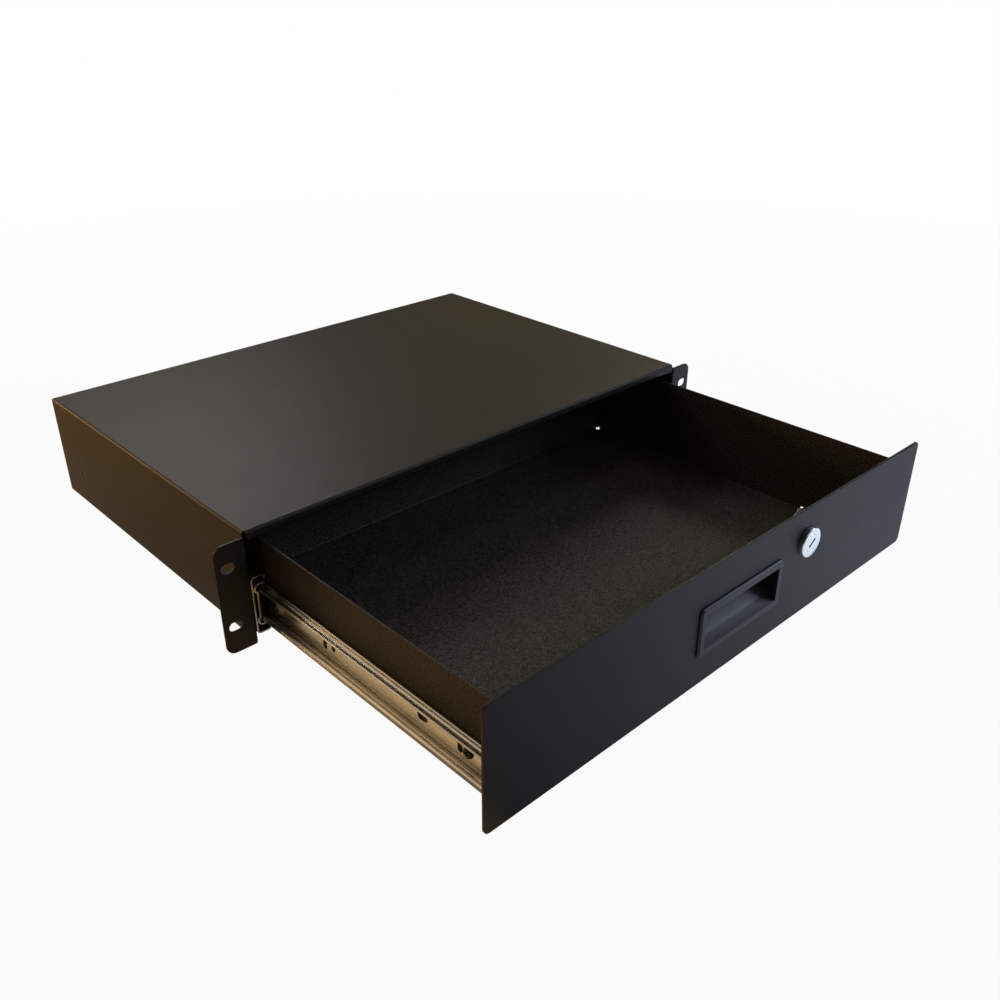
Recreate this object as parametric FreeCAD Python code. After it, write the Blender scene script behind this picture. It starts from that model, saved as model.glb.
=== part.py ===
import FreeCAD, Part
import math
import os

# Sliding drawer, two rack units high, for a 19-inch rack. All sizes are in millimetres.
# X runs to the right, Y to the rear and Z up. The origin is the centre of the four rack slots,
# in the front plane of the ears. The drawer is drawn part open, by drawer_out.

over = 1.0                    # cutting tools run past the piece they cut
tiny = 0.01                   # lengths taken as nothing

# ---------------------------------------------------------------- rack ears
rack_width = 482.6            # over both ears
slot_edge = 8.75              # from a slot's middle to the ear's outer end
slot_pitch = 44.45            # between the two rows of slots, one rack unit
slot_length = 10.0
slot_height = 7.0
ear_height = 82.0
ear_drop = 42.5               # ear's lower edge below the origin
ear_corner = 7.0              # outer corners
ear_root_corner = 2.0         # lower corner beside the casing

# ---------------------------------------------------------------- casing, one folded sheet
casing_sheet = 1.2
ear_reach = 22.15             # from the casing's side to the ear's outer end
casing_depth = 306.0
casing_height = 84.0
casing_top = 43.0             # upper face above the origin
bend_radius = 1.0             # inside radius of the sheet folds
lip_height = 7.2              # front lip folded down from the top
lip_return = 10.0             # its return, folded back under the top
lip_end_gap = 2.2             # from each end of the lip to the casing's outer side
lip_corner = 3.5
lip_tab = 5.0                 # end of the lip that has no return
rear_flange = 14.0            # side flanges folded inwards at the rear
rear_notch = 3.0              # top sheet ends this far ahead of the flanges

# ---------------------------------------------------------------- slides
slide_thickness = 12.7        # gap between casing side and drawer side
slide_height = 44.4
slide_rear_gap = 5.7          # rear end ahead of the casing's
slide_centre = -14.2          # height of the slides' centre line
slide_setback = 0.3           # front end behind the ears' front plane
slide_steel = 1.1
intermediate_short = 10.0     # less than the other two members
ball_radius = 2.38
ball_gap = 0.05
cabinet_bend = 2.2            # middle radii of the bends
cabinet_lip_bend = 1.5
cabinet_depth = 10.75
cabinet_lip = 3.6
web_standoff = 3.9            # intermediate web from the casing side
jog_standoff = 2.1            # its upper and lower ends
jog_height = 10.8
jog_rise = 1.2
jog_bend = 0.8
crown_bend = 3.6
crown_reach = 9.9
inner_race = 7.9              # inner balls from the casing side
outer_race = 7.2              # outer balls from the casing side
groove_angle = 60.0           # half angle of the rolled groove
member_bend = 0.7
cage_steel = 0.5
cage_bend = 0.8
cage_clearance = 0.35
outer_cage_length = 150.0
outer_cage_start = 60.0
outer_ball_pitch = 48.0
outer_ball_count = 3
inner_cage_length = 52.0
inner_cage_start = 8.0
inner_ball_pitch = 18.0
inner_ball_count = 3
inner_cage_lift = 0.75        # retainer plane off the ball centres
bumper_length = 8.0
bumper_height = 18.0
bumper_corner = 2.0
bumper_play = 0.7
ball_steps = 8                # sides of a ball across each axis

# ---------------------------------------------------------------- fasteners
small_sides = 12              # sides of small round pieces and of their holes
screw_radius = 1.8            # M4, at the pitch line of its thread
screw_clearance = 0.1
cabinet_screw_front = 34.0    # from the ears' front plane
cabinet_screw_inset = 32.3    # rear one, from the member's rear end
countersink_radius = 3.6
screw_recess = 0.4
member_screw_front = 27.5     # from the tray's front
member_screw_inset = 20.8     # rear one, from the member's rear end
pan_head_radius = 3.8
pan_head_height = 2.0
nut_sides = 6
nut_across_flats = 7.0
nut_height = 2.4
thread_gap = 0.05
thread_end = 1.0              # screw past its nut
adjusting_slot_length = 8.0   # screw slots of the drawer member
long_hole_at = 66.5           # other holes of the drawer member, from the tray's front
long_hole_length = 9.0
long_hole_height = 5.4
pilot_hole_at = 153.5
pilot_hole_radius = 2.1
tall_slots_at = (34.5, 162.5)
tall_slot_width = 4.2
tall_slot_height = 9.0

# ---------------------------------------------------------------- drawer
drawer_out = 226.2            # opening drawn, from closed
panel_gap = 0.5               # panel to ears when closed
panel_sheet = 2.0
panel_overlap = 2.85          # past the casing, on each side
panel_height = 86.7
panel_top = 43.7
panel_corner = 4.0
tray_sheet = 1.2
tray_past_slide = 0.7         # tray's rear past the drawer members
tray_height = 71.2
tray_bottom = -40.0
corner_relief = 1.9
stud_x = 176.0
stud_low = -27.0
stud_high = 20.0
stud_length = 7.0
panel_nut_height = 3.2

# ---------------------------------------------------------------- recessed pull
pull_width = 89.0
pull_height = 36.1
pull_centre = -1.8
pull_border = 5.2
pull_proud = 2.0
pull_edge = 1.2
pull_depth = 19.0             # pocket behind the panel's front face
pull_wall = 2.0
pull_corner = 3.0
pull_cup_corner = 1.8
scoop_shelf = 4.0             # level part of the pocket's floor, from the panel's front face
scoop_middle = 11.5           # a point on the curved floor
scoop_middle_rise = 5.5
scoop_top_rise = 18.0         # where the curve meets the back
pull_seat_gap = 0.2
hook_place = 23.6             # from the middle, to each side
hook_width = 8.0
hook_height = 0.9
hook_length = 5.0

# ---------------------------------------------------------------- cam lock
lock_x = 73.5
lock_z = 17.2
lock_head_radius = 10.8
lock_proud = 4.0
lock_head_chamfer = 0.8
lock_head_sides = 32
barrel_radius = 9.0
barrel_flats = 15.6
barrel_end = 13.0             # behind the panel's front face
barrel_clearance = 0.4        # in the tray's front wall
plug_radius = 6.2
running_gap = 0.05
keyway_width = 2.0
keyway_height = 8.0
keyway_depth = 12.0
wafer_count = 3
wafer_thickness = 0.8
wafer_pitch = 3.2
wafer_first = 2.6
wafer_width = 6.0
wafer_height = 10.8
wafer_gap = 0.1
lock_nut_flats = 22.0
lock_nut_height = 3.2
cam_thickness = 2.0
cam_gap = 0.2
cam_square = 7.0
cam_boss_radius = 8.0
cam_tip_radius = 6.5
cam_tip_reach = 15.5
cam_tilt = 55.0               # tip turned from upright towards +X
cam_washer_radius = 6.5
cam_washer_height = 0.8
cam_screw_flats = 7.0
cam_screw_height = 2.8
cam_screw_shank = 1.9
cam_screw_length = 4.0        # in the plug

# ---------------------------------------------------------------- places worked out from the sizes
slot_spacing = rack_width - 2 * slot_edge
casing_half = rack_width / 2 - ear_reach
panel_width = 2 * (casing_half + panel_overlap)
casing_inner = casing_half - casing_sheet
casing_bottom = casing_top - casing_height
ear_bottom = -ear_drop
fold = bend_radius + casing_sheet
lip_half = casing_half - lip_end_gap
lip_bottom = casing_top - lip_height

slide_front = slide_setback
slide_length = casing_depth - slide_rear_gap - slide_setback
intermediate_length = slide_length - intermediate_short
cabinet_screws_at = (cabinet_screw_front, slide_front + slide_length - cabinet_screw_inset)

tray_half = casing_inner - slide_thickness
tray_inner = tray_half - tray_sheet
panel_back = -panel_gap - drawer_out
panel_front = panel_back - panel_sheet
tray_front = panel_back
tray_rear = tray_front + slide_setback + slide_length + tray_past_slide
tray_top = tray_bottom + tray_height
member_screws_at = (member_screw_front, slide_setback + slide_length - member_screw_inset)

pull_mouth_half = pull_width / 2 - pull_border
pull_mouth_tall = pull_height / 2 - pull_border

race = ball_radius + ball_gap
slide_half = slide_height / 2
outer_ball_v = slide_half - slide_steel - race
crown_v = outer_ball_v - race
inner_ball_v = crown_v - slide_steel - race


def vec(x, y, z):
    return FreeCAD.Vector(x, y, z)


def box(x0, x1, y0, y1, z0, z1):
    low = vec(min(x0, x1), min(y0, y1), min(z0, z1))
    return Part.makeBox(abs(x1 - x0), abs(y1 - y0), abs(z1 - z0), low)


def rod(radius, start, direction, length):
    return Part.makeCylinder(radius, length, start, direction)


def y_rod(radius, x, y0, y1, z):
    return rod(radius, vec(x, y0, z), vec(0, 1, 0), y1 - y0)


# Small round bar with a few flat sides, which lie at the radius. Its holes are made the same way.
def sided_rod(radius, start, direction, length, sides=small_sides):
    across = vec(direction.y, direction.z, direction.x)
    upright = direction.cross(across)
    corner = radius / math.cos(math.pi / sides)
    points = []
    for i in range(sides + 1):
        angle = math.pi * (2 * i + 1) / sides
        points.append(start + across * (corner * math.cos(angle)) + upright * (corner * math.sin(angle)))
    return Part.Face(Part.makePolygon(points)).extrude(direction * length)


def sided_x(radius, x0, x1, y, z, sides=small_sides):
    return sided_rod(radius, vec(min(x0, x1), y, z), vec(1, 0, 0), abs(x1 - x0), sides)


def sided_y(radius, x, y0, y1, z, sides=small_sides):
    return sided_rod(radius, vec(x, y0, z), vec(0, 1, 0), y1 - y0, sides)


def join(shapes):
    whole = shapes[0].multiFuse(shapes[1:])
    return whole.removeSplitter()


def edges_along(shape, direction):
    return [e for e in shape.Edges if e.tangentAt(e.FirstParameter).cross(direction).Length < tiny]


# A folded strip is drawn by the middle line of its section. Each corner is rounded to its own
# middle radius, and both faces lie half a thickness off that line.
def fold_section(line, thickness, place):
    points = [(a, b) for a, b, r in line]
    directions = []
    for (a0, b0), (a1, b1) in zip(points, points[1:]):
        length = math.hypot(a1 - a0, b1 - b0)
        directions.append(((a1 - a0) / length, (b1 - b0) / length))
    sides = [fold_side(line, directions, offset) for offset in (thickness / 2, -thickness / 2)]
    edges = []
    for runs in sides:
        for run in runs:
            spots = [place(a, b) for a, b in run]
            if len(spots) == 3:
                edges.append(Part.Arc(*spots).toShape())
            elif spots[0].distanceToPoint(spots[1]) > 0.001 * tiny:
                edges.append(Part.LineSegment(*spots).toShape())
    for end in (0, -1):
        edges.append(Part.LineSegment(place(*sides[0][end][end]), place(*sides[1][end][end])).toShape())
    return Part.Face(Part.Wire(Part.__sortEdges__(edges)))


# One face of the strip, as straight runs of two points and bends of three.
def fold_side(line, directions, offset):
    def shifted(a, b, direction):
        return (a - direction[1] * offset, b + direction[0] * offset)

    runs = []
    start = shifted(line[0][0], line[0][1], directions[0])
    for (a, b, radius), before, after in zip(line[1:], directions, directions[1:]):
        turn = math.acos(max(-1.0, min(1.0, before[0] * after[0] + before[1] * after[1])))
        reach = radius * math.tan(turn / 2)
        bend_in = shifted(a - before[0] * reach, b - before[1] * reach, before)
        bend_out = shifted(a + after[0] * reach, b + after[1] * reach, after)
        middle = (before[0] + after[0], before[1] + after[1])
        length = math.hypot(*middle)
        middle = (middle[0] / length, middle[1] / length)
        left = 1.0 if before[0] * after[1] - before[1] * after[0] > 0 else -1.0
        sagitta = radius / math.cos(turn / 2) - radius
        crest = (a - middle[1] * left * sagitta, b + middle[0] * left * sagitta)
        runs.append((start, bend_in))
        runs.append((bend_in, shifted(crest[0], crest[1], middle), bend_out))
        start = bend_out
    runs.append((start, shifted(line[-1][0], line[-1][1], directions[-1])))
    return runs


def folded_along_x(line, thickness, x0, x1):
    return fold_section(line, thickness, lambda y, z: vec(x0, y, z)).extrude(vec(x1 - x0, 0, 0))


def folded_along_y(line, thickness, y0, y1):
    return fold_section(line, thickness, lambda x, z: vec(x, y0, z)).extrude(vec(0, y1 - y0, 0))


def folded_along_z(line, thickness, z0, z1):
    return fold_section(line, thickness, lambda x, y: vec(x, y, z0)).extrude(vec(0, 0, z1 - z0))


# Upright plates facing along Y, with their four corners rounded or cut off.
def rounded_plate(x0, x1, z0, z1, y0, y1, radius):
    plate = box(x0, x1, y0, y1, z0, z1)
    return plate.makeFillet(radius, edges_along(plate, vec(0, 1, 0)))


def cut_corner_plate(x0, x1, z0, z1, y0, y1, corner):
    plate = box(x0, x1, y0, y1, z0, z1)
    return plate.makeChamfer(corner, edges_along(plate, vec(0, 1, 0)))


# Slot that runs along X through a sheet that faces Y.
def slot_cutter(x, z, length, height, y0, y1):
    reach = (length - height) / 2
    middle = box(x - reach, x + reach, y0, y1, z - height / 2, z + height / 2)
    ends = [y_rod(height / 2, x + side * reach, y0, y1, z) for side in (-1, 1)]
    return join([middle] + ends)


# Waste outside a rounded corner of a sheet that faces Y; the corner points along (side_x, side_z).
def corner_waste(x, z, radius, side_x, side_z, y0, y1):
    centre_x = x - side_x * radius
    centre_z = z - side_z * radius
    block = box(centre_x, x + side_x, y0, y1, centre_z, z + side_z)
    return block.cut(y_rod(radius, centre_x, y0, y1, centre_z))


# ---------------------------------------------------------------- casing
def make_casing():
    half_sheet = casing_sheet / 2
    wall = casing_half - half_sheet
    top = casing_top - half_sheet
    bend = bend_radius + half_sheet
    hood_line = [(-wall, casing_bottom, 0), (-wall, top, bend), (wall, top, bend), (wall, casing_bottom, 0)]
    pieces = [folded_along_y(hood_line, casing_sheet, fold, casing_depth - rear_notch)]

    ear_end = rack_width / 2
    for side in (-1, 1):
        ear_line = [(side * wall, fold, 0), (side * wall, half_sheet, bend), (side * ear_end, half_sheet, 0)]
        ear = folded_along_z(ear_line, casing_sheet, ear_bottom, ear_bottom + ear_height)
        for side_z, edge_z in ((-1, ear_bottom), (1, ear_bottom + ear_height)):
            ear = ear.cut(corner_waste(side * ear_end, edge_z, ear_corner, side, side_z, -over, fold))
        root = side * (wall - half_sheet)
        ear = ear.cut(corner_waste(root, ear_bottom, ear_root_corner, -side, -1, -over, fold))
        for row in (-1, 1):
            ear = ear.cut(slot_cutter(side * slot_spacing / 2, row * slot_pitch / 2,
                                      slot_length, slot_height, -over, fold))
        flange_line = [(side * wall, casing_depth - rear_notch, 0),
                       (side * wall, casing_depth - half_sheet, bend),
                       (side * (casing_half - rear_flange), casing_depth - half_sheet, 0)]
        flange = folded_along_z(flange_line, casing_sheet, casing_bottom, casing_top - casing_sheet)
        pieces += [ear, flange]

    lip_fold = lip_bottom + fold
    return_half = lip_half - lip_tab
    lip_line = [(fold, top, 0), (half_sheet, top, bend), (half_sheet, lip_fold, 0)]
    return_line = [(half_sheet, lip_fold, 0), (half_sheet, lip_bottom + half_sheet, bend),
                   (lip_return, lip_bottom + half_sheet, 0)]
    pieces.append(folded_along_x(lip_line, casing_sheet, -lip_half, lip_half))
    pieces.append(folded_along_x(return_line, casing_sheet, -return_half, return_half))
    for side in (-1, 1):
        tab = box(side * (return_half + casing_sheet), side * lip_half, 0, casing_sheet, lip_bottom, lip_fold)
        pieces.append(tab)
    casing = join(pieces)
    for side in (-1, 1):
        casing = casing.cut(corner_waste(side * lip_half, lip_bottom, lip_corner, side, -1,
                                         -over, casing_sheet))
        for y in cabinet_screws_at:
            casing = casing.cut(sided_x(screw_radius + screw_clearance, side * (casing_inner - over),
                                        side * (casing_half + over), y, slide_centre))
    return casing


# ---------------------------------------------------------------- slides
# Their sections are drawn with u, the distance in from the casing side, and v, the height over
# the slide's centre line. Only the upper half is given; the lower half mirrors it.
def slide_x(side, u):
    return side * (casing_inner - u)


def channel(side, upper, thickness, y0, length):
    lower = [(u, -v, r) for u, v, r in reversed(upper)]
    face = fold_section(lower + upper, thickness,
                        lambda u, v: vec(slide_x(side, u), y0, slide_centre + v))
    return face.extrude(vec(0, length, 0))


def strip_pair(side, line, thickness, y0, length):
    strips = []
    for flip in (1, -1):
        face = fold_section(line, thickness,
                            lambda u, v: vec(slide_x(side, u), y0, slide_centre + flip * v))
        strips.append(face.extrude(vec(0, length, 0)))
    return strips


# Holes through the drawer member's web, at a distance from the tray's front.
def web_hole(side, at, v, radius):
    outer = slide_x(side, 0)
    return sided_x(radius, outer, slide_x(side, slide_thickness), tray_front + at, slide_centre + v)


def long_hole(side, at, length, height):
    reach = (length - height) / 2
    y = tray_front + at
    middle = box(slide_x(side, 0), slide_x(side, slide_thickness), y - reach, y + reach,
                 slide_centre - height / 2, slide_centre + height / 2)
    return join([middle] + [web_hole(side, at + end * reach, 0, height / 2) for end in (-1, 1)])


def tall_slot(side, at, width, height):
    reach = (height - width) / 2
    y0 = tray_front + at - width / 2
    middle = box(slide_x(side, 0), slide_x(side, slide_thickness), y0, y0 + width,
                 slide_centre - reach, slide_centre + reach)
    return join([middle] + [web_hole(side, at, end * reach, width / 2) for end in (-1, 1)])


def make_cabinet_member(side):
    web = slide_steel / 2
    flange = slide_half - web
    lip = cabinet_depth - web
    upper = [(web, flange, cabinet_bend), (lip, flange, cabinet_lip_bend), (lip, slide_half - cabinet_lip, 0)]
    member = channel(side, upper, slide_steel, slide_front, slide_length)
    for y in cabinet_screws_at:
        member = member.cut(countersunk_head(side, y, screw_clearance))
    return member


def countersunk_head(side, y, gap):
    wide = countersink_radius + gap
    narrow = screw_radius + gap
    x0 = slide_x(side, slide_steel)
    x1 = x0 + side * slide_steel
    rims = [sided_x(radius, x, x + over, y, slide_centre) for radius, x in ((wide, x0), (narrow, x1))]
    wires = [min(rim.Faces, key=lambda f: f.CenterOfMass.x).OuterWire for rim in rims]
    return Part.makeLoft(wires, True, True)


def make_cabinet_screws(side):
    screws = []
    for y in cabinet_screws_at:
        shank = sided_x(screw_radius, slide_x(side, slide_steel), side * (casing_half - screw_recess),
                        y, slide_centre)
        screws.append(join([countersunk_head(side, y, 0), shank]))
    return Part.makeCompound(screws)


def make_rear_bumper(side):
    y0 = slide_front + intermediate_length + bumper_play
    reach = web_standoff + slide_steel / 2
    block = box(slide_x(side, slide_steel), slide_x(side, reach), y0, y0 + bumper_length,
                slide_centre - bumper_height / 2, slide_centre + bumper_height / 2)
    return block.makeChamfer(bumper_corner, edges_along(block, vec(1, 0, 0)))


def make_intermediate(side):
    crown = crown_v - slide_steel / 2
    upper = [(web_standoff, jog_height - jog_rise, jog_bend), (jog_standoff, jog_height, jog_bend),
             (jog_standoff, crown, crown_bend), (crown_reach, crown, 0)]
    return channel(side, upper, slide_steel, slide_front, intermediate_length)


def make_drawer_member(side):
    web = slide_thickness - slide_steel / 2
    radius = race + slide_steel / 2
    slope = math.radians(groove_angle)
    bottom = inner_ball_v - radius
    rim = inner_ball_v - slide_steel / 2
    foot = radius * math.tan(slope / 2)
    top = foot + (rim - bottom) / math.tan(slope)
    upper = [(web, rim, member_bend), (inner_race + top, rim, member_bend),
             (inner_race + foot, bottom, radius), (inner_race - foot, bottom, radius),
             (inner_race - top, rim, 0)]
    member = channel(side, upper, slide_steel, tray_front + slide_setback, slide_length)
    screw_hole = 2 * (screw_radius + screw_clearance)
    holes = [long_hole(side, at, adjusting_slot_length, screw_hole) for at in member_screws_at]
    holes.append(long_hole(side, long_hole_at, long_hole_length, long_hole_height))
    holes.append(web_hole(side, pilot_hole_at, 0, pilot_hole_radius))
    holes += [tall_slot(side, at, tall_slot_width, tall_slot_height) for at in tall_slots_at]
    return member.cut(holes)


def make_member_screws(side):
    screws = []
    nuts = []
    for place in member_screws_at:
        at = tray_front + place
        seat = slide_x(side, slide_thickness - slide_steel)
        crown = seat + side * pan_head_height
        head = sided_x(pan_head_radius, seat, crown, at, slide_centre)
        rim = [e for e in head.Edges if abs(e.CenterOfMass.x - crown) < tiny]
        head = head.makeChamfer(pan_head_height / 2, rim)
        nut_end = side * (tray_inner - nut_height)
        shank = sided_x(screw_radius, seat, nut_end - side * thread_end, at, slide_centre)
        screws.append(join([head, shank]))
        nut = sided_x(nut_across_flats / 2, side * tray_inner, nut_end, at, slide_centre, nut_sides)
        nuts.append(nut.cut(sided_x(screw_radius + thread_gap, side * tray_inner, nut_end, at, slide_centre)))
    return Part.makeCompound(screws), Part.makeCompound(nuts)


# A ball is drawn as the solid that three sided rods, one along each axis, have in common.
def ball(centre):
    flats = ball_radius * math.cos(math.pi / ball_steps)
    rods = []
    for direction in (vec(1, 0, 0), vec(0, 1, 0), vec(0, 0, 1)):
        start = centre - direction * ball_radius
        rods.append(sided_rod(flats, start, direction, 2 * ball_radius, ball_steps))
    return rods[0].common(rods[1]).common(rods[2])


def window(centre):
    half = ball_radius + ball_gap
    return box(centre.x - half, centre.x + half, centre.y - half, centre.y + half,
               centre.z - half, centre.z + half)


def windowed(strips, places):
    windows = [window(p) for p in places]
    return Part.makeCompound([strip.cut(windows) for strip in strips])


def ball_places(side, u, v, first, pitch, count):
    return [vec(slide_x(side, u), first + i * pitch, slide_centre + flip * v)
            for i in range(count) for flip in (1, -1)]


def make_outer_cage(side):
    gap_side = slide_steel + cage_clearance + cage_steel / 2
    reach = cabinet_depth - slide_steel - cage_clearance
    line = [(gap_side, outer_ball_v - ball_radius / 2, 0), (gap_side, outer_ball_v, cage_bend),
            (reach, outer_ball_v, 0)]
    strips = strip_pair(side, line, cage_steel, outer_cage_start, outer_cage_length)
    margin = (outer_cage_length - (outer_ball_count - 1) * outer_ball_pitch) / 2
    first = outer_cage_start + margin
    places = ball_places(side, outer_race, outer_ball_v, first, outer_ball_pitch, outer_ball_count)
    return windowed(strips, places), Part.makeCompound([ball(p) for p in places])


def make_inner_cage(side):
    gap_side = jog_standoff + slide_steel / 2 + cage_clearance + cage_steel / 2
    plane = inner_ball_v + inner_cage_lift
    line = [(gap_side, inner_ball_v - ball_radius / 2, 0), (gap_side, plane, cage_bend),
            (crown_reach + cage_clearance, plane, 0)]
    strips = strip_pair(side, line, cage_steel, inner_cage_start, inner_cage_length)
    margin = (inner_cage_length - (inner_ball_count - 1) * inner_ball_pitch) / 2
    first = inner_cage_start + margin
    places = ball_places(side, inner_race, inner_ball_v, first, inner_ball_pitch, inner_ball_count)
    return windowed(strips, places), Part.makeCompound([ball(p) for p in places])


# ---------------------------------------------------------------- drawer tray and panel
def make_tray():
    half_sheet = tray_sheet / 2
    bend = bend_radius + half_sheet
    corner = bend_radius + tray_sheet
    wall = tray_half - half_sheet
    floor = tray_bottom + half_sheet
    trough_line = [(-wall, tray_top, 0), (-wall, floor, bend), (wall, floor, bend), (wall, tray_top, 0)]
    trough = folded_along_y(trough_line, tray_sheet, tray_front, tray_rear)
    pieces = []
    for face_y, inward in ((tray_front, 1), (tray_rear, -1)):
        trough = trough.cut(box(-tray_inner, tray_inner, face_y - inward, face_y + inward * corner,
                                tray_bottom - over, tray_bottom + corner))
        end_line = [(face_y + inward * corner, floor, 0), (face_y + inward * half_sheet, floor, bend),
                    (face_y + inward * half_sheet, tray_top, 0)]
        pieces.append(folded_along_x(end_line, tray_sheet, -tray_inner, tray_inner))
    tray = join([trough] + pieces)
    for side in (-1, 1):
        for face_y, inward in ((tray_front, 1), (tray_rear, -1)):
            spot = vec(side * (tray_inner - bend_radius / 2), face_y + inward * (corner - bend_radius / 2),
                       tray_bottom - over)
            tray = tray.cut(sided_rod(corner_relief, spot, vec(0, 0, 1), 2 * tray_sheet + over))
        for at in member_screws_at:
            tray = tray.cut(sided_x(screw_radius + screw_clearance, side * (tray_inner - over),
                                    side * (tray_half + over), tray_front + at, slide_centre))
        for z in (stud_low, stud_high):
            tray = tray.cut(sided_y(screw_radius + screw_clearance, side * stud_x, tray_front - over,
                                    tray_front + tray_sheet + over, z))
    tray = tray.cut(pull_aperture(tray_front - over, tray_front + tray_sheet + over))
    return tray.cut(sided_y(barrel_radius + barrel_clearance, lock_x, tray_front - over,
                            tray_front + tray_sheet + over, lock_z, 2 * small_sides))


def make_panel():
    panel = rounded_plate(-panel_width / 2, panel_width / 2, panel_top - panel_height, panel_top,
                          panel_front, panel_back, panel_corner)
    panel = panel.cut(pull_aperture(panel_front - over, panel_back + over))
    panel = panel.cut(barrel_shape(thread_gap, panel_front - over, panel_back + over))
    studs = [sided_y(screw_radius, side * stud_x, panel_back, panel_back + stud_length, z)
             for side in (-1, 1) for z in (stud_low, stud_high)]
    return join([panel] + studs)


def make_panel_nuts():
    nuts = []
    seat = tray_front + tray_sheet
    for side in (-1, 1):
        for z in (stud_low, stud_high):
            body = sided_y(nut_across_flats / 2, side * stud_x, seat, seat + panel_nut_height, z, nut_sides)
            bore = sided_y(screw_radius + thread_gap, side * stud_x, seat - over, seat + stud_length, z)
            nuts.append(body.cut(bore))
    return Part.makeCompound(nuts)


# ---------------------------------------------------------------- recessed pull
def pull_aperture(y0, y1):
    half = pull_mouth_half + pull_wall + pull_seat_gap
    tall = pull_mouth_tall + pull_wall + pull_seat_gap
    return cut_corner_plate(-half, half, pull_centre - tall, pull_centre + tall, y0, y1, pull_cup_corner)


# Pocket for the fingertips, whose floor curves up into the back.
def pull_scoop(low, high):
    front = panel_front - pull_proud - over
    back = panel_front + pull_depth - pull_wall
    start = vec(-pull_mouth_half, panel_front + scoop_shelf, low)
    middle = vec(-pull_mouth_half, panel_front + scoop_middle, low + scoop_middle_rise)
    end = vec(-pull_mouth_half, back, low + scoop_top_rise)
    corners = [end, vec(-pull_mouth_half, back, high), vec(-pull_mouth_half, front, high),
               vec(-pull_mouth_half, front, low), start]
    edges = [Part.LineSegment(p, q).toShape() for p, q in zip(corners, corners[1:])]
    edges.append(Part.Arc(start, middle, end).toShape())
    return Part.Face(Part.Wire(edges)).extrude(vec(2 * pull_mouth_half, 0, 0))


def make_pull():
    low = pull_centre - pull_mouth_tall
    high = pull_centre + pull_mouth_tall
    bezel = rounded_plate(-pull_width / 2, pull_width / 2, pull_centre - pull_height / 2,
                          pull_centre + pull_height / 2, panel_front - pull_proud, panel_front, pull_corner)
    face_edges = [e for e in bezel.Edges if abs(e.CenterOfMass.y - (panel_front - pull_proud)) < tiny]
    bezel = bezel.makeChamfer(pull_edge, face_edges)
    back = panel_front + pull_depth
    cup = cut_corner_plate(-pull_mouth_half - pull_wall, pull_mouth_half + pull_wall, low - pull_wall,
                           high + pull_wall, panel_front, back, pull_cup_corner)
    hooks = []
    hook_start = tray_front + tray_sheet + running_gap
    for side_z, edge_z in ((-1, low - pull_wall), (1, high + pull_wall)):
        for x in (-hook_place, hook_place):
            tip = edge_z + side_z * (hook_height + pull_seat_gap)
            corners = [vec(x - hook_width / 2, hook_start, edge_z), vec(x - hook_width / 2, hook_start, tip),
                       vec(x - hook_width / 2, hook_start + hook_length, edge_z)]
            hooks.append(Part.Face(Part.makePolygon(corners + corners[:1])).extrude(vec(hook_width, 0, 0)))
    return join([bezel, cup] + hooks).cut(pull_scoop(low, high))


# ---------------------------------------------------------------- cam lock
# Threaded barrel with two flats, between y0 and y1.
def barrel_shape(gap, y0, y1):
    round_bar = y_rod(barrel_radius + gap, lock_x, y0, y1, lock_z)
    half = barrel_flats / 2 + gap
    return round_bar.common(box(lock_x - half, lock_x + half, y0, y1,
                                lock_z - barrel_radius - over, lock_z + barrel_radius + over))


def make_lock_housing():
    head = sided_y(lock_head_radius, lock_x, panel_front - lock_proud, panel_front, lock_z, lock_head_sides)
    rim = [e for e in head.Edges if abs(e.CenterOfMass.y - (panel_front - lock_proud)) < tiny]
    head = head.makeChamfer(lock_head_chamfer, rim)
    barrel = barrel_shape(0, panel_front, panel_front + barrel_end)
    bore = y_rod(plug_radius + running_gap, lock_x, panel_front - lock_proud - over,
                 panel_front + barrel_end + over, lock_z)
    return join([head, barrel]).cut(bore)


def make_lock_nut():
    seat = tray_front + tray_sheet
    nut = sided_y(lock_nut_flats / 2, lock_x, seat, seat + lock_nut_height, lock_z, nut_sides)
    return nut.cut(sided_y(barrel_radius + thread_gap, lock_x, seat - over, seat + lock_nut_height + over,
                           lock_z, 2 * small_sides))


def wafer_places():
    return [panel_front + wafer_first + i * wafer_pitch for i in range(wafer_count)]


def keyway(y0, y1):
    return box(lock_x - keyway_width / 2, lock_x + keyway_width / 2, y0, y1,
               lock_z - keyway_height / 2, lock_z + keyway_height / 2)


def make_lock_plug():
    face = panel_front - lock_proud
    end = panel_front + barrel_end
    body = y_rod(plug_radius, lock_x, face, end, lock_z)
    half = cam_square / 2
    tail = box(lock_x - half, lock_x + half, end, end + cam_gap + cam_thickness, lock_z - half, lock_z + half)
    plug = join([body, tail])
    plug = plug.cut(keyway(face - over, face + keyway_depth))
    for y in wafer_places():
        plug = plug.cut(box(lock_x - wafer_width / 2 - wafer_gap, lock_x + wafer_width / 2 + wafer_gap,
                            y - wafer_gap, y + wafer_thickness + wafer_gap,
                            lock_z - plug_radius - over, lock_z + plug_radius + over))
    bore = sided_y(cam_screw_shank + thread_gap, lock_x, end + cam_gap + cam_thickness - cam_screw_length,
                   end + cam_gap + cam_thickness, lock_z)
    return turned(plug.cut(bore))


def make_lock_wafers():
    wafers = []
    for y in wafer_places():
        wafer = box(lock_x - wafer_width / 2, lock_x + wafer_width / 2, y, y + wafer_thickness,
                    lock_z - wafer_height / 2, lock_z + wafer_height / 2)
        wafers.append(wafer.cut(keyway(y - over, y + wafer_thickness + over)))
    return turned(Part.makeCompound(wafers))


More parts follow.
